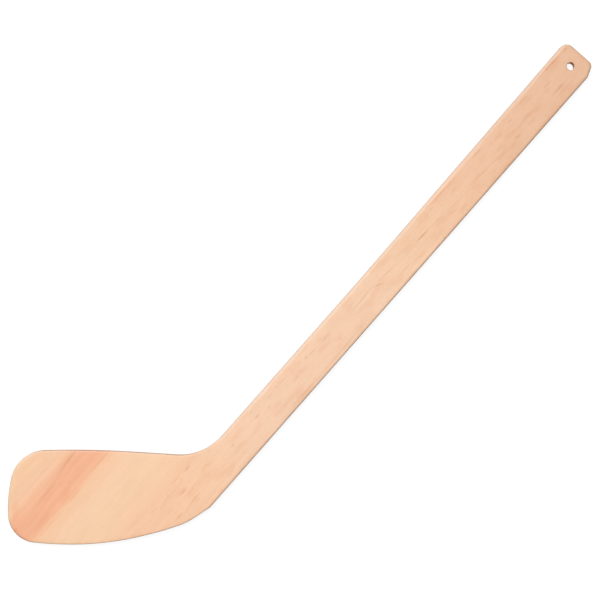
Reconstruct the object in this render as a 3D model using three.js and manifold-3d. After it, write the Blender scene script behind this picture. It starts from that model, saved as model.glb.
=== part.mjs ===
// Wooden hockey stick. Blade and shaft are one flat board, edge-glued from three strips of wood, sawn to
// its outline, sanded round at the edges and drilled at the butt so that it can hang on a hook.
//
// Millimetres. The drawing's origin is at the heel, on the shaft's straight outer edge: +X runs up the
// shaft to the butt, +Y across towards the tip of the blade, +Z out of the front face. The finished group
// is moved so that its origin lies under the middle of the whole stick, in the plane of the back face.

import * as THREE from 'three';
import { mergeVertices } from 'three/addons/utils/BufferGeometryUtils.js';
import Module from 'manifold-3d';

const { lerp, smoothstep } = THREE.MathUtils;
const wasm = await Module();
wasm.setup();

// ---- Driving dimensions

const THICKNESS = 10;
const NECK_WIDTH = 30;         // shaft where the throat ends
const BUTT_WIDTH = 31.5;       // the shaft widens a little towards the butt
const BUTT_END = 449.5;        // heel to the butt's end face
const BUTT_BEVEL = { length: 10, depth: 4 };   // shallow saw bevel on the outer corner of the butt

const HOLE = { diameter: 6, fromEnd: 12.5, countersink: 0.4 };

// Rounded edges. Each radius takes over between two distances along the shaft, at the toe along the blade.
const LIGHT_EASING = 1.2;                               // sanding along the blade
const OUTER_EDGE = { radius: 2, from: -9, to: -3 };    // shaft, from the heel on
const INNER_EDGE = { radius: 3, from: 28, to: 48 };     // shaft, from the throat on
const BUTT_EDGE = { radius: 2, from: 437, to: 446 };
const TOE_EDGE = { radius: 2.4, from: 135, to: 150 };
const BLADE_DIRECTION = new THREE.Vector2(-0.6, 0.8);

const HEEL_SEAM = 34.5;        // each glue line's distance from the shaft's outer edge
const TOE_SEAM = 86.5;
const GLUE_FILM = 0.25;

const ARC_DIVISIONS = 6;       // a filleted corner is drawn with twice as many chords
const EASING_STEPS = 4;
const HOLE_SIDES = 32;
const LONGEST_CHORD = 12;
const CLEAR = 20;              // how far a cutting block reaches past the board

// Corners of the outline, counter-clockwise from the heel: x, y and the radius of the corner's fillet.
const CORNERS = [
  [-4.5, 0, 14],                                  // heel: the sole leaves the shaft's outer edge
  [BUTT_END - BUTT_BEVEL.length, 0, 4],           // butt
  [BUTT_END, BUTT_BEVEL.depth, 4.5],
  [BUTT_END, BUTT_WIDTH, 6.5],
  [202, NECK_WIDTH - 0.5, 2000],                  // inner edge: the shaft starts to widen
  [36.3, NECK_WIDTH, 51],                         // throat, in two sweeps
  [16.9, 35.8, 41],
  [-30.1, 96.6, 790],                             // top edge of the blade, slightly hollow
  [-71.4, 142.4, 27],                             // toe: upper corner, end, lower corner
  [-103.6, 122.7, 105],
  [-126.8, 101, 22],
  [-108, 74.5, 275],                              // sole, one long curve back to the heel
  [-80, 41.5, 230],
  [-44, 16.5, 150],
  [-26.5, 6, 54],
];

// ---- Outline

function filletedShape(corners) {
  const shape = new THREE.Shape();
  corners.forEach(([x, y, radius], i) => {
    const corner = new THREE.Vector2(x, y);
    const next = corners[(i + 1) % corners.length];
    const back = new THREE.Vector2(...corners.at(i - 1)).sub(corner).normalize();
    const ahead = new THREE.Vector2(...next).sub(corner).normalize();
    const halfAngle = Math.acos(back.dot(ahead)) / 2;
    const setback = radius / Math.tan(halfAngle);
    const centre = back.clone().add(ahead).setLength(radius / Math.sin(halfAngle)).add(corner);
    const start = back.multiplyScalar(setback).add(corner).sub(centre);
    const end = ahead.multiplyScalar(setback).add(corner).sub(centre);
    const clockwise = start.cross(end) < 0;
    shape.absarc(centre.x, centre.y, radius, start.angle(), end.angle(), clockwise);
  });
  return shape;
}

// Points round the outline, with extra ones along the straight stretches so that the rounding can fade there.
function outlineStations(shape) {
  const points = shape.getPoints(ARC_DIVISIONS);
  return points.flatMap((point, i) => {
    const next = points[(i + 1) % points.length];
    const pieces = Math.ceil(point.distanceTo(next) / LONGEST_CHORD);
    return Array.from({ length: pieces }, (_, k) => point.clone().lerp(next, k / pieces));
  });
}

function inwardNormals(points) {
  return points.map((_, i) => {
    const along = points[(i + 1) % points.length].clone().sub(points.at(i - 1)).normalize();
    return new THREE.Vector2(-along.y, along.x);
  });
}

// Radius of the rounded edge at a point of the outline.
function easingRadius(point) {
  const shaftEdge = point.y < NECK_WIDTH / 2 ? OUTER_EDGE : INNER_EDGE;
  const alongBlade = point.dot(BLADE_DIRECTION);
  const takingOver = [[shaftEdge, point.x], [BUTT_EDGE, point.x], [TOE_EDGE, alongBlade]];
  return takingOver.reduce(
    (radius, [edge, distance]) => lerp(radius, edge.radius, smoothstep(distance, edge.from, edge.to)),
    LIGHT_EASING,
  );
}

// ---- The board: rings round the outline follow the rounded edge from the back face over to the front face.

function roundedBoard(shape) {
  const stations = outlineStations(shape);
  const inward = inwardNormals(stations);
  const radii = stations.map(easingRadius);

  function ring(step, onFront) {
    const angle = (step / EASING_STEPS) * (Math.PI / 2);
    return stations.map((station, i) => {
      const point = station.clone().addScaledVector(inward[i], radii[i] * (1 - Math.sin(angle)));
      const height = radii[i] * (1 - Math.cos(angle));
      return new THREE.Vector3(point.x, point.y, onFront ? THICKNESS - height : height);
    });
  }

  const steps = Array.from({ length: EASING_STEPS + 1 }, (_, k) => k);
  const rings = [...steps.map((k) => ring(k, false)), ...steps.reverse().map((k) => ring(k, true))];

  const count = stations.length;
  const triangles = [];
  for (let r = 0; r + 1 < rings.length; r += 1) {
    for (let i = 0; i < count; i += 1) {
      const j = (i + 1) % count;
      const [a, b, c, d] = [r * count + i, r * count + j, (r + 1) * count + j, (r + 1) * count + i];
      triangles.push(a, b, c, a, c, d);
    }
  }
  const lastRing = (rings.length - 1) * count;
  for (const [a, b, c] of THREE.ShapeUtils.triangulateShape(rings[0], [])) {
    triangles.push(a, c, b);
  }
  for (const [a, b, c] of THREE.ShapeUtils.triangulateShape(rings.at(-1), [])) {
    triangles.push(lastRing + a, lastRing + b, lastRing + c);
  }
  return new THREE.BufferGeometry().setFromPoints(rings.flat()).setIndex(triangles);
}

// ---- Cutting tools

// A drill with a slight countersink where it meets each face.
function hangingHoleDrill() {
  const radius = HOLE.diameter / 2;
  const flared = radius + HOLE.countersink;
  const profile = [
    [0, -CLEAR],
    [flared, -CLEAR],
    [flared, 0],
    [radius, HOLE.countersink],
    [radius, THICKNESS - HOLE.countersink],
    [flared, THICKNESS],
    [flared, THICKNESS + CLEAR],
    [0, THICKNESS + CLEAR],
  ].map(([x, y]) => new THREE.Vector2(x, y));
  return new THREE.LatheGeometry(profile, HOLE_SIDES)
    .rotateX(Math.PI / 2)
    .translate(BUTT_END - HOLE.fromEnd, BUTT_WIDTH / 2, 0);
}

// A block over the full length and thickness of the board, between two distances from the shaft's outer edge.
function stripBetween(low, high, bounds) {
  const length = bounds.max.x - bounds.min.x + 2 * CLEAR;
  const middle = (bounds.min.x + bounds.max.x) / 2;
  return new THREE.BoxGeometry(length, high - low, THICKNESS + 2 * CLEAR)
    .translate(middle, (low + high) / 2, THICKNESS / 2);
}

// ---- Closed solids and booleans

function solid(geometry) {
  const bare = geometry.clone();
  bare.deleteAttribute('normal');
  bare.deleteAttribute('uv');
  const merged = mergeVertices(bare);
  const corners = Array.from(merged.index.array);
  const triangles = [];
  for (let i = 0; i < corners.length; i += 3) {
    const triangle = corners.slice(i, i + 3);
    const collapsed = new Set(triangle).size < 3;   // a lathe makes these on its axis
    if (!collapsed) triangles.push(...triangle);
  }
  return new wasm.Manifold(new wasm.Mesh({
    numProp: 3,
    vertProperties: merged.attributes.position.array,
    triVerts: Uint32Array.from(triangles),
  }));
}

function geometryOf(manifold) {
  const { vertProperties, triVerts } = manifold.getMesh();
  const geometry = new THREE.BufferGeometry();
  geometry.setAttribute('position', new THREE.BufferAttribute(vertProperties, 3));
  geometry.setIndex(new THREE.BufferAttribute(triVerts, 1));
  geometry.computeVertexNormals();
  return geometry;
}

// ---- Finishes

const bareWood = (color) => new THREE.MeshStandardMaterial({ color, roughness: 0.62, metalness: 0 });
const shaftWood = bareWood(0xf1c9a8);    // peach, with short dark pores
const bladeWood = bareWood(0xf6cfab);    // paler and smoother
const toeWood = bareWood(0xf5bf9a);      // salmon heartwood, tan towards the tip
const driedGlue = new THREE.MeshStandardMaterial({ color: 0xd9b48c, roughness: 0.4, metalness: 0 });

// ---- Assembly

const outline = filletedShape(CORNERS);
const bounds = new THREE.Box2().setFromPoints(outline.getPoints(ARC_DIVISIONS));
const board = solid(roundedBoard(outline)).subtract(solid(hangingHoleDrill()));

const halfFilm = GLUE_FILM / 2;
const strips = [
  ['shaft_stave', bounds.min.y - CLEAR, HEEL_SEAM - halfFilm, shaftWood],
  ['heel_glue_line', HEEL_SEAM - halfFilm, HEEL_SEAM + halfFilm, driedGlue],
  ['blade_stave', HEEL_SEAM + halfFilm, TOE_SEAM - halfFilm, bladeWood],
  ['toe_glue_line', TOE_SEAM - halfFilm, TOE_SEAM + halfFilm, driedGlue],
  ['toe_stave', TOE_SEAM + halfFilm, bounds.max.y + CLEAR, toeWood],
];

const stick = new THREE.Group();
for (const [name, low, high, material] of strips) {
  const strip = board.intersect(solid(stripBetween(low, high, bounds)));
  const mesh = new THREE.Mesh(geometryOf(strip), material);
  mesh.name = name;
  stick.add(mesh);
}

const middle = bounds.getCenter(new THREE.Vector2());
stick.position.set(-middle.x, -middle.y, 0);

export default stick;
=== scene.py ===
# %% [markdown]
# # A bare wooden hockey stick
#
# The stick is one flat board. Three strips of wood are glued edge to edge, the outline is sawn through
# all three, the edges are sanded round and a hole is drilled at the butt to hang it by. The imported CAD
# model is the frame that everything here is built around: it fixes where the stick is and how big it is.
# All lengths are in millimetres until a mesh or a shader needs metres.

import math

import bmesh
import bpy
import numpy as np
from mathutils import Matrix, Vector, noise


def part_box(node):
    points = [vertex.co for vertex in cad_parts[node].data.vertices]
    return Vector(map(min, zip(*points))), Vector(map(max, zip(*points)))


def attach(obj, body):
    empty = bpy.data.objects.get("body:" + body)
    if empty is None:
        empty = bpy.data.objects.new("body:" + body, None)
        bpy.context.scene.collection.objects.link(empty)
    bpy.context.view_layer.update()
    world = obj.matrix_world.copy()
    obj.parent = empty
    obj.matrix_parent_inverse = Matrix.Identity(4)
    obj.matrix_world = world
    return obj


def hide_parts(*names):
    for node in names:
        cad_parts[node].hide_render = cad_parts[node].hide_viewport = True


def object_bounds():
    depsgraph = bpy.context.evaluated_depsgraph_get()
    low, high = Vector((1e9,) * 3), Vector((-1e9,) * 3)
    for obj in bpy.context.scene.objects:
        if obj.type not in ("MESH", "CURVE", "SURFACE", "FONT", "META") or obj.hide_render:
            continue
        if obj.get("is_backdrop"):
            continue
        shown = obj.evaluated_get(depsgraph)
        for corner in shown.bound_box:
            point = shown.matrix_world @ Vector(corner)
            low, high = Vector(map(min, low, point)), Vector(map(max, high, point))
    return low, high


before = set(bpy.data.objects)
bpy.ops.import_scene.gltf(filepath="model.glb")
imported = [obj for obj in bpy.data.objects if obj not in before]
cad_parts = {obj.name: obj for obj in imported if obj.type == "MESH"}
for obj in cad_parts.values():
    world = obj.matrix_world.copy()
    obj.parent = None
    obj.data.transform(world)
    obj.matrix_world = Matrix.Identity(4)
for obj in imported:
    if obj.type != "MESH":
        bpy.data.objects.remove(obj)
cad_low, cad_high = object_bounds()
MM = 0.001
print("CAD box, mm:", [round(side / MM, 1) for side in cad_high - cad_low])

# %% [markdown]
# ## The saw line
#
# A maker draws this outline with a ruler and a few round templates: straight lines between corners, and a
# fillet radius at each corner. Drawing it the same way keeps the curves fair, because every stretch is a
# true arc that meets its neighbours without a kink. The corners go round counter-clockwise from the heel:
# X runs up the shaft from the heel, Y across from the shaft's straight outer edge towards the toe.

# %% Corners of the outline: x, y, fillet radius
butt_end, butt_width, neck_width = 449.5, 31.5, 30.0
bevel_length, bevel_depth = 10, 4       # shallow saw bevel on the outer corner of the butt

corners = [
    (-4.5, 0, 14),                      # heel
    (butt_end - bevel_length, 0, 4),    # butt
    (butt_end, bevel_depth, 4.5),
    (butt_end, butt_width, 6.5),
    (202, neck_width - 0.5, 2000),      # inner edge of the shaft
    (36.3, neck_width, 51),             # throat
    (16.9, 35.8, 41),
    (-30.1, 96.6, 790),                 # top edge of the blade
    (-71.4, 142.4, 27),                 # toe
    (-103.6, 122.7, 105),
    (-126.8, 101, 22),
    (-108, 74.5, 275),                  # sole
    (-80, 41.5, 230),
    (-44, 16.5, 150),
    (-26.5, 6, 54),
]


# %% Turn corners and radii into points
def fillet(before, corner, after, radius, chord):
    """Points along the arc that rounds one corner."""
    back = (before - corner) / np.linalg.norm(before - corner)
    ahead = (after - corner) / np.linalg.norm(after - corner)
    half_angle = math.acos(back @ ahead) / 2
    bisector = (back + ahead) / np.linalg.norm(back + ahead)
    centre = corner + bisector * radius / math.sin(half_angle)
    start = corner + back * radius / math.tan(half_angle) - centre
    end = corner + ahead * radius / math.tan(half_angle) - centre
    first = math.atan2(start[1], start[0])
    turn = math.remainder(math.atan2(end[1], end[0]) - first, math.tau)
    count = max(3, math.ceil(abs(turn) * radius / chord))
    angles = first + turn * np.linspace(0, 1, count + 1)
    return centre + radius * np.column_stack([np.cos(angles), np.sin(angles)])


def rounded_outline(corners, arc_chord=1.0, straight_chord=2.5):
    """The closed outline, with short chords on the arcs and longer ones on the straights."""
    places = np.array([corner[:2] for corner in corners], float)
    arcs = [
        fillet(places[i - 1], places[i], places[(i + 1) % len(places)], corners[i][2], arc_chord)
        for i in range(len(places))
    ]
    points = []
    for arc, next_arc in zip(arcs, arcs[1:] + arcs[:1]):
        gap = next_arc[0] - arc[-1]
        pieces = math.ceil(np.linalg.norm(gap) / straight_chord)
        points.extend(arc)
        points.extend(arc[-1] + gap * k / pieces for k in range(1, pieces))
    return np.array(points)


outline = rounded_outline(corners)
heel = Vector((cad_low.x - outline[:, 0].min() * MM, cad_low.y - outline[:, 1].min() * MM, cad_low.z))
print("outline:", len(outline), "points,", np.round(np.ptp(outline, axis=0), 1), "mm")


# %% [markdown]
# ## The board, with rounded edges
#
# A plain extrusion would leave razor edges. The real board was moulded round along the shaft, more on its
# inner edge than on its outer one, rubbed round at the butt and the toe, and only lightly sanded along
# the blade. So the edge's width changes along the outline, which one bevel can't do. Instead the outline
# is repeated as a stack of rings that creep outwards and upwards along a quarter circle, and faces are
# skinned between them. The radius also wanders a little, as handwork does.

# %% How round the edge is at each point of the outline
thickness = (cad_high.z - cad_low.z) / MM
light_edge = 1.2                # radius along the blade

# The other radii, each with the two distances between which it takes over.
outer_edge = (2.0, -9, -3)      # shaft, from the heel on
inner_edge = (3.0, 28, 48)      # shaft, from the throat on
butt_edge = (2.0, 437, 446)
toe_edge = (2.4, 135, 150)      # by distance along the blade
blade_direction = np.array([-0.6, 0.8])
wander_length, wander_share = 35, 0.15


def take_over(radius, edge, distance):
    """Fades from one radius to an edge's own between its two distances."""
    new_radius, start, end = edge
    t = np.clip((distance - start) / (end - start), 0, 1)
    return radius + (new_radius - radius) * t * t * (3 - 2 * t)


def edge_radius(points):
    """Radius of the rounded edge at each point."""
    x, y = points.T
    shaft = np.where(
        y < neck_width / 2,
        take_over(light_edge, outer_edge, x),
        take_over(light_edge, inner_edge, x),
    )
    radius = take_over(take_over(shaft, butt_edge, x), toe_edge, points @ blade_direction)
    wander = [noise.noise(Vector((*point / wander_length, 7.3))) for point in points]
    return radius * (1 + wander_share * np.array(wander))


def inward(points):
    """Unit normals of the outline, pointing into the board."""
    along = np.roll(points, -1, axis=0) - np.roll(points, 1, axis=0)
    along /= np.linalg.norm(along, axis=1)[:, None]
    return np.column_stack([-along[:, 1], along[:, 0]])


radii = edge_radius(outline)
print("rounded edge, mm:", radii.min().round(2), "to", radii.max().round(2))

# %% Rings from the back face, round the edge and over to the front face
edge_steps = 8


def board_rings(points):
    radius, normals = edge_radius(points), inward(points)
    back_half = []
    for step in range(edge_steps + 1):
        angle = math.pi / 2 * step / edge_steps
        flat = points + normals * radius[:, None] * (1 - math.sin(angle))
        height = radius * (1 - math.cos(angle))
        back_half.append(np.column_stack([flat, height]))
    front_half = [np.column_stack([r[:, :2], thickness - r[:, 2]]) for r in reversed(back_half)]
    return back_half + front_half


def skin(name, rings):
    """A closed mesh: quads between neighbouring rings, a face over each end. Rings in mm from the heel."""
    mesh = bmesh.new()
    loops = [[mesh.verts.new(heel + Vector(point) * MM) for point in ring] for ring in rings]
    for lower, upper in zip(loops, loops[1:]):
        for i in range(len(lower)):
            j = (i + 1) % len(lower)
            mesh.faces.new((lower[i], lower[j], upper[j], upper[i]))
    mesh.faces.new(reversed(loops[0]))
    mesh.faces.new(loops[-1])
    data = bpy.data.meshes.new(name)
    mesh.to_mesh(data)
    mesh.free()
    made = bpy.data.objects.new(name, data)
    bpy.context.scene.collection.objects.link(made)
    return made


board = skin("board", board_rings(outline))
print("board:", len(board.data.polygons), "faces")

# %% [markdown]
# ## The hanging hole
#
# The hole is drilled after the outline is sawn, so it is cut here in the same order: a drill body is
# skinned from rings, with a hair of countersink at each face where the rim was sanded, and a boolean
# takes it out of the board.

# %% Drill the hole
hole_from_end = 12.5
hole_centre = np.array([butt_end - hole_from_end, butt_width / 2])
hole_radius, countersink, overshoot = 3.0, 0.4, 5.0


def drill_rings():
    angles = np.linspace(0, math.tau, 64, endpoint=False)
    circle = np.column_stack([np.cos(angles), np.sin(angles)])
    profile = [
        (hole_radius + countersink, -overshoot),
        (hole_radius + countersink, 0),
        (hole_radius, countersink),
        (hole_radius, thickness - countersink),
        (hole_radius + countersink, thickness),
        (hole_radius + countersink, thickness + overshoot),
    ]
    return [np.column_stack([hole_centre + circle * r, np.full(len(circle), z)]) for r, z in profile]


drill = skin("drill", drill_rings())
cut = board.modifiers.new("hanging hole", "BOOLEAN")
cut.operation, cut.object, cut.solver = "DIFFERENCE", drill, "EXACT"
drilled = bpy.data.meshes.new_from_object(board.evaluated_get(bpy.context.evaluated_depsgraph_get()))
bpy.data.objects.remove(drill)
bpy.data.objects.remove(board)
print("drilled board:", len(drilled.polygons), "faces")

# %% [markdown]
# ## Back to three strips and two glue lines
#
# The strips were glued before sawing, so their edges line up exactly. Slicing the finished board along
# the two glue lines gives that for free. The frame says where the slices go: each strip fills the box of
# its CAD node.

# %% Slice the board
def slice_between(low, high):
    """The part of the board between two distances across the shaft, closed where it was cut."""
    piece = bmesh.new()
    piece.from_mesh(drilled)
    for place, outward in ((low, -1), (high, 1)):
        cut = bmesh.ops.bisect_plane(
            piece,
            geom=[*piece.verts, *piece.edges, *piece.faces],
            plane_co=(0, place, 0),
            plane_no=(0, outward, 0),
            clear_outer=True,
        )
        rim = [item for item in cut["geom_cut"] if isinstance(item, bmesh.types.BMEdge)]
        if rim:
            bmesh.ops.edgeloop_fill(piece, edges=rim)
    return piece


def grid_faces(piece, spacing):
    """Cuts the big front and back faces into a grid, so that they can be shaped like the rest."""
    for axis in (0, 1):
        places = [v.co[axis] for v in piece.verts]
        plane_no = Vector((axis == 0, axis == 1, 0))
        for place in np.arange(min(places) + spacing / 2, max(places), spacing):
            flat = [f for f in piece.faces if abs(f.normal.z) > 0.999]
            edges = {e for f in flat for e in f.edges}
            verts = {v for f in flat for v in f.verts}
            bmesh.ops.bisect_plane(
                piece, geom=[*flat, *edges, *verts], plane_co=plane_no * place, plane_no=plane_no
            )


# %% [markdown]
# ## Hand-sanded relief
#
# A sanded face is never dead flat: it has broad, shallow hollows that catch the light at a low angle.
# They only ever take wood away, so the board gets no thicker than the frame makes it.

# %% Shallow hollows over both faces
hollow_length, hollow_width, hollow_depth = 90, 28, 0.09
grid_spacing = 4


def sand(piece):
    middle = (cad_low.z + cad_high.z) / 2
    half = (cad_high.z - cad_low.z) / 2
    for vertex in piece.verts:
        x, y, _ = vertex.co / MM
        wave = noise.noise(Vector((x / hollow_length, y / hollow_width, 3.1)))
        hollow = hollow_depth * MM * (0.5 + 0.5 * wave)
        vertex.co.z -= (vertex.co.z - middle) / half * hollow


strips = {
    "shaft_strip": "shaft_stave",
    "heel_glue": "heel_glue_line",
    "blade_strip": "blade_stave",
    "toe_glue": "toe_glue_line",
    "toe_strip": "toe_stave",
}
pieces = {}
for name, node in strips.items():
    low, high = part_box(node)
    shape = slice_between(low.y, high.y)
    grid_faces(shape, grid_spacing * MM)
    sand(shape)
    data = bpy.data.meshes.new(name)
    shape.to_mesh(data)
    shape.free()
    data.shade_smooth()
    data.set_sharp_from_angle(angle=math.radians(35))
    pieces[name] = bpy.data.objects.new(name, data)
    bpy.context.scene.collection.objects.link(pieces[name])
    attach(pieces[name], "root")
    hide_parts(node)
    print(name, len(data.polygons), "faces")

# %% [markdown]
# ## Finishes from layers
#
# Each strip is bare wood, sanded but not varnished. A printed wood pattern wrapped over the stick would
# look the same on every face, and the grain would break at the edges. Here the colour is worked out from
# the place inside the board instead, so the grain runs through the wood: long on the faces, and cut
# across at the butt. The layers go on one by one: broad colour, growth rings, fibres, pores and the
# single marks that make this board this board. A small helper keeps the shader nodes readable: it adds
# them, links them and gives back what comes out.

# %% A helper for shader nodes
class Finish:
    """One material under construction."""

    def __init__(self, name):
        self.material = bpy.data.materials.new(name)
        self.material.use_nodes = True
        self.tree = self.material.node_tree
        self.shader = self.tree.nodes["Principled BSDF"]

    def feed(self, socket, value):
        if isinstance(value, bpy.types.NodeSocket):
            self.tree.links.new(value, socket)
        else:
            socket.default_value = value

    def node(self, kind, inputs, output=0, **settings):
        made = self.tree.nodes.new(kind)
        for key, value in settings.items():
            setattr(made, key, value)
        for key, value in inputs.items():
            self.feed(made.inputs[key], value)
        return made.outputs[output]

    def math(self, operation, *values):
        return self.node("ShaderNodeMath", dict(enumerate(values)), operation=operation)

    def add(self, *values):
        total = values[0]
        for value in values[1:]:
            total = self.math("ADD", total, value)
        return total

    def times(self, *values):
        product = values[0]
        for value in values[1:]:
            product = self.math("MULTIPLY", product, value)
        return product

    def vector(self, operation, *values):
        return self.node("ShaderNodeVectorMath", dict(enumerate(values)), operation=operation)

    def split(self, vector):
        parts = self.tree.nodes.new("ShaderNodeSeparateXYZ")
        self.feed(parts.inputs[0], vector)
        return parts.outputs[:3]

    def fade(self, value, start, end):
        """0 at start, 1 at end, smooth between; start may be the larger one."""
        ends = {0: value, 1: start, 2: end}
        return self.node("ShaderNodeMapRange", ends, interpolation_type="SMOOTHSTEP")

    def cloud(self, place, size, detail=2.0, seed=0.0):
        """Soft noise, 0 to 1, whose blots have about the given size in mm along each axis."""
        stretched = self.vector("DIVIDE", place, size)
        shifted = self.vector("ADD", stretched, (seed, seed, seed))
        return self.node("ShaderNodeTexNoise", {"Vector": shifted, "Scale": 1.0, "Detail": detail})

    def layer(self, amount, under, over, mode="MIX"):
        """One colour over another; MULTIPLY stains the colour under it."""
        inputs = {0: amount, 6: under, 7: over}
        return self.node("ShaderNodeMix", inputs, 2, data_type="RGBA", blend_type=mode)

    def swatches(self, value, stops):
        """A colour for each value, from (value, colour) stops in rising order."""
        first, last = stops[0][0], stops[-1][0]
        where = self.node("ShaderNodeMapRange", {0: value, 1: first, 2: last})
        ramp = self.tree.nodes.new("ShaderNodeValToRGB")
        self.feed(ramp.inputs[0], where)
        elements = ramp.color_ramp.elements
        elements[0].color, elements[1].color = stops[0][1], stops[-1][1]
        for at, colour in stops[1:-1]:
            elements.new((at - first) / (last - first)).color = colour
        return ramp.outputs[0]


def swatch(red, green, blue, brightness=1.0):
    """A shader colour from a swatch's red, green and blue, 0 to 255."""
    parts = [part / 255 for part in (red, green, blue)]
    linear = [((part + 0.055) / 1.055) ** 2.4 for part in parts]
    return (*[part * brightness for part in linear], 1.0)


print("a mid peach for a shader:", np.round(swatch(250, 205, 170), 3))

# %% [markdown]
# ## Where a point lies in the board
#
# The patterns are drawn in the same millimetres as the outline: X along the grain, Y across it, Z through
# the board. Real fibres are never ruler-straight, so a second set of coordinates wanders slowly sideways,
# by a few millimetres at most, and everything that follows the fibres uses that one.

# %% Board coordinates
def board_place(finish):
    """The drawing's coordinates in mm."""
    place = finish.node("ShaderNodeTexCoord", {}, "Object")
    from_heel = finish.vector("SUBTRACT", place, heel)
    return finish.vector("DIVIDE", from_heel, (MM, MM, MM))


def along_fibres(finish, place, sway=3.5):
    """Board coordinates that wander sideways as the fibres do."""
    drift = finish.math("SUBTRACT", finish.cloud(place, (120, 40, 30), seed=2.0), 0.5)
    sideways = finish.node("ShaderNodeCombineXYZ", {1: finish.times(drift, 2 * sway)})
    return finish.vector("ADD", place, sideways)


print("heel of the drawing, mm in the scene:", [round(side / MM, 1) for side in heel])

# %% [markdown]
# ## Rings, fibres and pores
#
# Growth rings are shells around the pith, the middle of the tree. On a board sawn far from the pith they
# show as soft lines along the grain, so the distance from a pith line outside the board gives them. Pores
# are tiny tubes, cut open by the surface into short dashes: dots in stretched cells make them in three
# dimensions, and only some of the cells get a dot, because an even pattern looks printed.

# %% Layers that follow the grain
ring_spacing = 4.5
fine_pore, open_pore = (3.4, 0.42, 0.42), (26, 3.4, 3.4)    # the space that each pore has, along and across


def growth_rings(finish, fibres, pith, spacing):
    """0 to 1 over each ring: pale early wood that darkens slowly, then starts again softly."""
    _, y, z = finish.split(finish.vector("SUBTRACT", fibres, (0, *pith)))
    distance = finish.math("SQRT", finish.add(finish.times(y, y), finish.times(z, z)))
    ripple = finish.times(finish.cloud(fibres, (60, 6, 6), seed=9.0), spacing * 1.5)
    turn = finish.math("FRACT", finish.math("DIVIDE", finish.add(distance, ripple), spacing))
    return finish.times(finish.fade(turn, 0.1, 0.85), finish.fade(turn, 1.0, 0.88))


def pores(finish, fibres, cell, dot, share):
    """1 inside a pore. The cell is in mm, the dot a part of it, and share is how many cells have one."""
    stretched = finish.vector("DIVIDE", fibres, cell)
    cells = finish.tree.nodes.new("ShaderNodeTexVoronoi")
    finish.feed(cells.inputs["Vector"], stretched)
    cells.inputs["Scale"].default_value = 1.0
    lot = finish.split(cells.outputs["Color"])[0]
    chosen = finish.math("LESS_THAN", lot, share)
    return finish.times(finish.fade(cells.outputs["Distance"], dot, dot * 0.4), chosen)


print("rings across the shaft:", round(neck_width / ring_spacing, 1))
print("fine pores in a square cm, at most:", round(100 / (fine_pore[0] * fine_pore[1])))

# %% [markdown]
# ## The marks of this one board
#
# Random pores alone give wood in general. What makes a board recognisable are its few bold marks: open
# vessels, a resin streak, a stain. Each is written as a stroke from one point to another with a width and
# a strength, much as a decorator would paint it with a fine brush. A stroke is a long soft ellipsoid that
# reaches a little into the wood.

# %% Brush strokes
overrun = 1.3       # a stroke fades towards its ends, so it is drawn longer than it looks


def strokes(finish, fleck, place, marks, depth=3.0):
    """The sum of all strokes: (x1, y1, x2, y2, width, strength) on the front face."""
    total = 0.0
    for x1, y1, x2, y2, width, strength in marks:
        middle = ((x1 + x2) / 2, (y1 + y2) / 2, thickness)
        half_length = math.hypot(x2 - x1, y2 - y1) / 2 * overrun
        turned = finish.node(
            "ShaderNodeMapping",
            {
                "Vector": place,
                "Location": middle,
                "Rotation": (0, 0, math.atan2(y2 - y1, x2 - x1)),
                "Scale": (half_length, width, depth),
            },
            vector_type="TEXTURE",
        )
        spot = finish.node("ShaderNodeTexGradient", {"Vector": turned}, 1, gradient_type="SPHERICAL")
        total = finish.math("MULTIPLY_ADD", spot, strength, total)
    return finish.times(total, fleck)


print("a 10 mm mark is drawn", 10 * overrun, "mm long")

# %% [markdown]
# ## Bare wood
#
# One recipe serves all three strips, so they look like boards from one pile; the colours, the rings and
# the marks differ. Brown darkens the colour where there is a pore or late wood, and rust tints the resin
# streaks and a soft blush here and there. The rounded edges that face the key light, on the inner side,
# get a painted sheen: a pale highlight mixed into their colour. The butt and the other places that show
# end grain are darker and rougher. Every pore and dark mark is also a hollow in the bump, and the fibres
# and rings stand up a little.

# %% The recipe
light = 0.9
brown = (0.49, 0.32, 0.18, 1)
rust = (0.84, 0.44, 0.20, 1)
# whitish colour of the painted sheen on the rounded edges that face the key light
painted_sheen_white = swatch(234, 226, 217, light)


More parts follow.
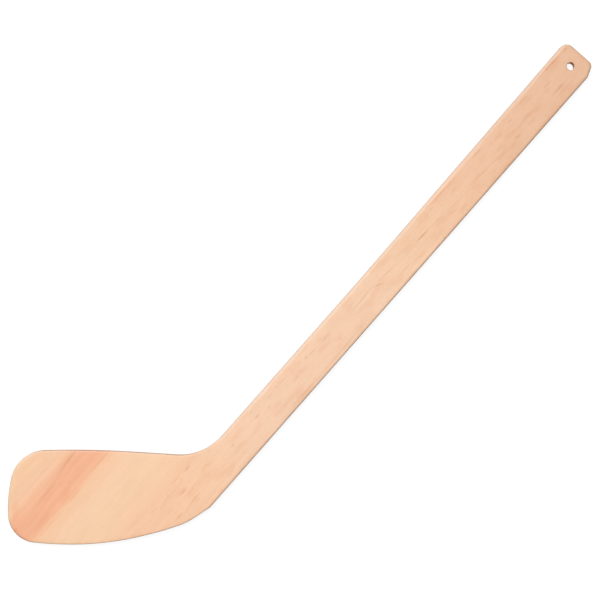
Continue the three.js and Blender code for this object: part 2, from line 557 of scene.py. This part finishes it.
def bare_wood(name, broad_colour, pith, ring, blush_strength, pore_share, dark_marks, rust_marks):
    finish = Finish(name)
    place = board_place(finish)
    fibres = along_fibres(finish, place)
    fine = finish.cloud(fibres, (30, 0.45, 0.45), detail=3.0, seed=4.0)
    patchy = finish.cloud(fibres, (28, 7, 7), seed=6.0)
    blush = finish.fade(finish.cloud(fibres, (17, 6, 6), seed=12.0), 0.45, 0.75)
    rings = growth_rings(finish, fibres, pith, ring_spacing)
    vessels = pores(finish, fibres, fine_pore, dot=0.3, share=pore_share)
    open_grain = pores(finish, fibres, open_pore, dot=0.2, share=0.5)
    _, _, z = finish.split(place)
    on_back = finish.fade(z, 0.6 * thickness, 0.3 * thickness)
    open_grain = finish.times(open_grain, on_back, pore_share)

    fleck = finish.add(finish.times(fine, 1.1), 0.35)
    marks = strokes(finish, fleck, place, dark_marks)
    stains = strokes(finish, fleck, place, rust_marks)

    facing = finish.node("ShaderNodeTexCoord", {}, "Normal")
    nx, ny, nz = finish.split(facing)
    end_grain = finish.fade(finish.math("ABSOLUTE", nx), 0.45, 0.95)
    off_the_wall = finish.fade(finish.math("ABSOLUTE", nz), 0.05, 0.5)
    # painted highlight: mask of the rounded edges that face +Y, towards the key light
    painted_sheen_edge = finish.times(finish.math("MAXIMUM", ny, 0.0), off_the_wall)

    colour = broad_colour(finish, fibres)
    dark = finish.add(
        finish.times(rings, ring),
        finish.times(fine, 0.11),
        finish.times(patchy, 0.13),
        finish.times(vessels, 0.18),
        finish.times(open_grain, 0.5),
        marks,
        finish.times(end_grain, 0.22),
    )
    colour = finish.layer(dark, colour, brown, "MULTIPLY")
    colour = finish.layer(finish.add(stains, finish.times(blush, blush_strength)), colour, rust, "MULTIPLY")
    # painted sheen: pales the key-lit rounded edges towards white
    colour = finish.layer(finish.times(painted_sheen_edge, finish.add(fine, 0.5), 0.45), colour, painted_sheen_white)
    finish.feed(finish.shader.inputs["Base Color"], colour)

    rough = finish.add(
        0.52,
        finish.times(fine, 0.12),
        finish.times(vessels, 0.1),
        finish.times(end_grain, 0.15),
    )
    finish.feed(finish.shader.inputs["Roughness"], rough)

    relief = finish.add(
        finish.times(fine, 0.03),
        finish.times(rings, 0.012),
        finish.times(vessels, -0.05),
        finish.times(open_grain, -0.1),
        finish.times(marks, -0.08),
    )
    bump = finish.node("ShaderNodeBump", {"Height": relief, "Distance": MM, "Strength": 1.0})
    finish.feed(finish.shader.inputs["Normal"], bump)
    print(name, len(finish.tree.nodes), "shader nodes")
    return finish.material


# %% [markdown]
# ## The shaft's wood
#
# The shaft strip is peach near the heel and turns duller and browner towards the butt. It has the most
# open pores, long thin ones, which follow the grain as it drifts a few millimetres across the shaft. The
# strip also takes in the foot of the blade, below the heel glue line.

# %% Shaft strip
def shaft_colours(finish, fibres):
    x, _, _ = finish.split(fibres)
    return finish.swatches(x, [
        (-60, swatch(253, 205, 168, light)),
        (0, swatch(253, 208, 171, light)),
        (70, swatch(250, 210, 178, light)),
        (190, swatch(247, 208, 175, light)),
        (255, swatch(247, 206, 171, light)),
        (310, swatch(244, 199, 164, light)),
        (365, swatch(239, 194, 159, light)),
        (430, swatch(236, 191, 157, light)),
    ])


shaft_marks = [
    (68, 24.7, 75, 24.7, 0.7, 0.30),     # cluster above the throat
    (68, 22.2, 75, 22.2, 0.6, 0.12),
    (70, 19.3, 75, 19.3, 0.8, 0.45),
    (76, 12.5, 80, 12.5, 0.8, 0.12),
    (82.5, 17, 86.5, 17, 1.4, 0.20),
    (88, 22.2, 95, 22.2, 0.8, 0.20),
    (104, 22.5, 112, 22.5, 0.8, 0.20),
    (113, 16, 117, 16, 0.8, 0.25),
    (121, 17, 123, 17, 0.9, 0.12),
    (130.8, 21.2, 133.3, 20.8, 1.0, 0.45),
    (134, 20.3, 142, 19.8, 0.8, 0.25),
    (148, 19.8, 159, 19.4, 0.8, 0.18),
    (30, 18.5, 42, 18.5, 0.8, 0.08),
    (41.5, 18.6, 45, 18.8, 0.8, 0.35),
    (182, 17.3, 209, 18.8, 0.9, 0.28),   # long pair that crosses the middle
    (208, 17.2, 215, 14, 0.9, 0.35),
    (214, 17.5, 232, 16.6, 0.8, 0.26),
    (196.5, 26, 199.5, 26, 0.9, 0.20),
    (227, 8.5, 239, 8.5, 0.8, 0.12),
    (240, 15, 251, 15, 0.8, 0.14),
    (256, 15.7, 269, 15, 1.0, 0.55),     # the boldest one, and its thin tail
    (269, 14.8, 290, 13.4, 0.8, 0.17),
    (289, 13.2, 307, 12.1, 0.8, 0.17),
    (280, 24, 284, 24, 1.6, 0.20),
    (313, 13.5, 353, 11, 0.9, 0.16),
    (324, 12.8, 334, 12.6, 0.8, 0.15),
    (332, 26, 344, 26, 1.0, 0.35),
    (334, 6.6, 340, 6.6, 0.8, 0.22),
    (349, 15.4, 357, 15.4, 0.8, 0.18),
    (358, 21, 362, 21, 1.3, 0.10),
    (366, 10.5, 372, 10.5, 1.4, 0.28),
    (371, 22.9, 377, 22.9, 0.7, 0.40),
    (376, 15.4, 390, 15.4, 0.8, 0.28),
    (380, 10.4, 390, 10.4, 0.9, 0.22),
    (384, 26, 400, 26, 0.8, 0.15),
    (410, 11.3, 425, 11.3, 1.0, 0.40),
    (410, 20, 419, 20, 0.9, 0.30),
    (3, 33.8, 10, 33.8, 2.0, 0.36),      # foot of the blade
    (-10, 34.2, -2, 34.2, 0.8, 0.25),
    (-30, 13.7, -22, 13.7, 0.8, 0.25),
    (-14, 13.7, -2, 13.7, 0.8, 0.30),
    (19, 21.8, 23, 22.4, 1.0, 0.20),
]
shaft_stains = [
    (101, 3.6, 128, 3.4, 1.3, 0.30),     # rust-coloured streaks just inside the outer edge
    (126, 3.6, 169, 3.8, 1.3, 0.34),
    (203, 27, 208, 27, 0.9, 0.30),
    (277, 27, 315, 26, 1.1, 0.50),
    (369, 26.6, 373, 26.6, 1.0, 0.20),
    (415, 28.4, 440, 28, 1.1, 0.65),     # resin along the inner edge of the butt
    (441, 27.6, 447, 27.4, 1.1, 0.60),
    (-13, 24, -5, 24, 2.0, 0.48),
    (-31, 21, -22, 21, 1.4, 0.18),
    (-54, 33, -46, 33, 1.8, 0.10),
]
shaft_wood = bare_wood("shaft wood", shaft_colours, (20, -70), 0.05, 0.19, 0.55, shaft_marks, shaft_stains)

# %% [markdown]
# ## The blade's wood
#
# The middle strip is the palest and plainest, with the fewest pores. It warms a little towards both glue
# lines.

# %% Blade strip
def blade_colours(finish, fibres):
    _, y, _ = finish.split(fibres)
    return finish.swatches(y, [
        (34, swatch(250, 201, 164, light)),
        (40, swatch(251, 206, 167, light)),
        (56, swatch(251, 210, 171, light)),
        (72, swatch(251, 209, 172, light)),
        (77, swatch(251, 206, 169, light)),
        (83, swatch(252, 205, 166, light)),
        (86.5, swatch(251, 199, 159, light)),
    ])


blade_marks = [
    (-107, 78.3, -32, 78, 2.2, 0.05),
]
blade_stains = [
    (-76, 86, -58, 85.6, 1.6, 0.34),     # heartwood along the toe's glue line, in three strokes
    (-56, 86.4, -44, 86.4, 0.9, 0.12),
    (-108, 85.5, -86, 84.5, 1.8, 0.14),
    (-62, 37, -48, 36, 3.0, 0.10),       # warm patch by the heel's glue line
]
blade_wood = bare_wood("blade wood", blade_colours, (60, -90), 0.03, 0.05, 0.25, blade_marks, blade_stains)

# %% [markdown]
# ## The toe's wood
#
# The toe strip was cut across the border of the heartwood. Next to the glue line it is salmon red, and
# about half way across it fades to tan sapwood. The fade follows the fibres, so its border wanders with
# them.

# %% Toe strip
def toe_colours(finish, fibres):
    _, y, _ = finish.split(fibres)
    return finish.swatches(y, [
        (86.5, swatch(251, 191, 151, light)),
        (92, swatch(248, 183, 144, light)),
        (103, swatch(248, 183, 144, light)),
        (108, swatch(250, 188, 150, light)),
        (112, swatch(251, 199, 160, light)),
        (118, swatch(250, 203, 165, light)),
        (134, swatch(248, 204, 162, light)),
    ])


toe_marks = [
    (-100, 102.3, -70, 103.5, 2.2, 0.13),   # the darkest ring of the heartwood, in three overlapping strokes
    (-84, 103, -52, 105.5, 2.0, 0.14),
    (-62, 106, -38, 107.5, 1.8, 0.24),
    (-72, 98, -60, 98.5, 1.0, 0.08),
    (-53, 97.6, -43, 97.6, 1.0, 0.06),
    (-64, 95.3, -60, 95.3, 1.0, 0.14),
    (-80, 111, -70, 111, 1.0, 0.12),
    (-38, 88.2, -28, 88.2, 1.1, 0.08),
]
toe_stains = [
    (-78, 89, -64, 93, 4.5, 0.18),
    (-108, 90, -88, 91, 3.5, 0.14),
    (-116, 104, -100, 117, 3.5, 0.18),
    (-119, 102, -115, 102, 1.8, 0.50),
]
toe_wood = bare_wood("toe wood", toe_colours, (150, -60), 0.06, 0.06, 0.3, toe_marks, toe_stains)

# %% [markdown]
# ## Dried glue
#
# Wood glue dries amber and slightly glossy. The line is a quarter of a millimetre wide and was sanded
# flush, and it shows only in places, where the joint was not pressed quite tight, so its colour shifts
# between amber and wood.

# %% Glue lines
def dried_glue(name):
    finish = Finish(name)
    place = board_place(finish)
    starved = finish.fade(finish.cloud(place, (14, 5, 5), detail=3.0, seed=1.0), 0.52, 0.7)
    colour = finish.layer(starved, swatch(248, 200, 163, light), swatch(214, 160, 112, light))
    finish.feed(finish.shader.inputs["Base Color"], colour)
    skin_marks = finish.cloud(place, (3, 0.3, 0.6), detail=3.0, seed=8.0)
    finish.feed(finish.shader.inputs["Roughness"], finish.add(0.3, finish.times(skin_marks, 0.25)))
    relief = finish.times(skin_marks, 0.03)
    bump = finish.node("ShaderNodeBump", {"Height": relief, "Distance": MM, "Strength": 1.0})
    finish.feed(finish.shader.inputs["Normal"], bump)
    return finish.material


glue = dried_glue("dried glue")
finishes = {
    "shaft_strip": (shaft_wood, "shaft_wood"),
    "heel_glue": (glue, "dried_glue"),
    "blade_strip": (blade_wood, "blade_wood"),
    "toe_glue": (glue, "dried_glue"),
    "toe_strip": (toe_wood, "toe_wood"),
}
for name, (material, slot) in finishes.items():
    pieces[name].data.materials.append(material)
    print(name, "->", material.name)

# %% [markdown]
# ## A pale studio
#
# The stick lies on a pale sheet that rises at its rim, so that it is also the backdrop from the side. The
# sheet glows, but it gives the wood no more than a faint sheen. A soft key light stands high on the
# shaft's inner side and brightens that rounded edge, which leaves the outer edge in shade; the pale
# surroundings fill the rest.

# %% Sheet, surroundings and key light
def sheet_mesh(radius=9.0, flat_radius=4.0, rim_height=4.0, rings=24, sides=96):
    """A dish: flat in the middle, rising smoothly towards its rim."""
    mesh = bmesh.new()
    middle = mesh.verts.new((0, 0, cad_low.z))
    loops = []
    for ring in range(1, rings + 1):
        reach = radius * ring / rings
        rise = rim_height * max(0, (reach - flat_radius) / (radius - flat_radius)) ** 2
        loops.append([
            mesh.verts.new((reach * math.cos(a), reach * math.sin(a), cad_low.z + rise))
            for a in np.linspace(0, math.tau, sides, endpoint=False)
        ])
    for i in range(sides):
        j = (i + 1) % sides
        mesh.faces.new((middle, loops[0][i], loops[0][j]))
        for inner, outer in zip(loops, loops[1:]):
            mesh.faces.new((inner[i], outer[i], outer[j], inner[j]))
    data = bpy.data.meshes.new("sheet")
    mesh.to_mesh(data)
    mesh.free()
    data.shade_smooth()
    return data


sheet = bpy.data.objects.new("sheet", sheet_mesh())
bpy.context.scene.collection.objects.link(sheet)
paper = Finish("paper")
paper.shader.inputs["Base Color"].default_value = (0.12, 0.12, 0.12, 1)
paper.shader.inputs["Roughness"].default_value = 0.9
paper.shader.inputs["Emission Color"].default_value = (1, 1, 1, 1)
paper.shader.inputs["Emission Strength"].default_value = 0.91
sheet.data.materials.append(paper.material)
sheet.visible_diffuse = False
sheet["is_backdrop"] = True


def surroundings(above, below):
    """A plain white world, brighter below the horizon, in place of the light that a table throws back."""
    world = bpy.data.worlds.new("surroundings")
    world.use_nodes = True
    nodes, links = world.node_tree.nodes, world.node_tree.links
    direction = nodes.new("ShaderNodeTexCoord")
    height = nodes.new("ShaderNodeSeparateXYZ")
    brightness = nodes.new("ShaderNodeMapRange")
    for socket, value in zip(brightness.inputs[1:5], (-0.1, 0.1, below, above)):
        socket.default_value = value
    links.new(direction.outputs["Generated"], height.inputs[0])
    links.new(height.outputs["Z"], brightness.inputs[0])
    links.new(brightness.outputs[0], nodes["Background"].inputs["Strength"])
    nodes["Background"].inputs["Color"].default_value = (1, 1, 1, 1)
    return world


bpy.context.scene.world = surroundings(above=0.19, below=0.38)

key = bpy.data.lights.new("key", "AREA")
key.shape, key.size, key.energy = "DISK", 1.5, 98.5
key_light = bpy.data.objects.new("key", key)
bpy.context.scene.collection.objects.link(key_light)
key_distance, key_direction = 3.0, Vector((0.09, 0.36, 0.93))
key_light.location = key_distance * key_direction
key_light.rotation_euler = key_light.location.to_track_quat("Z", "Y").to_euler()
key_light.visible_camera = False
print("key light", round(key_light.location.length, 2), "m away,", key.energy, "W")

# %% [markdown]
# ## The camera
#
# It hangs straight above the stick and is turned so that the shaft points to the upper right.

# %% Camera
lens = bpy.data.cameras.new("camera")
lens.sensor_width, lens.lens = 36, 118.4
camera = bpy.data.objects.new("camera", lens)
bpy.context.scene.collection.objects.link(camera)
camera.location = (-0.0026, -0.0135, 1.54)
camera.rotation_euler = (0, 0, math.radians(-48.72))
bpy.context.scene.camera = camera
bpy.context.scene.view_settings.view_transform = "Standard"
print("field of view, degrees:", round(math.degrees(lens.angle), 1))

# %% [markdown]
#
# The visible stick should fill the frame's box. Its box is printed here; the frame's box was printed at the
# start.

# %% Print the visible box
low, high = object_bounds()
print("visible box, mm:", [round(side / MM, 2) for side in high - low])
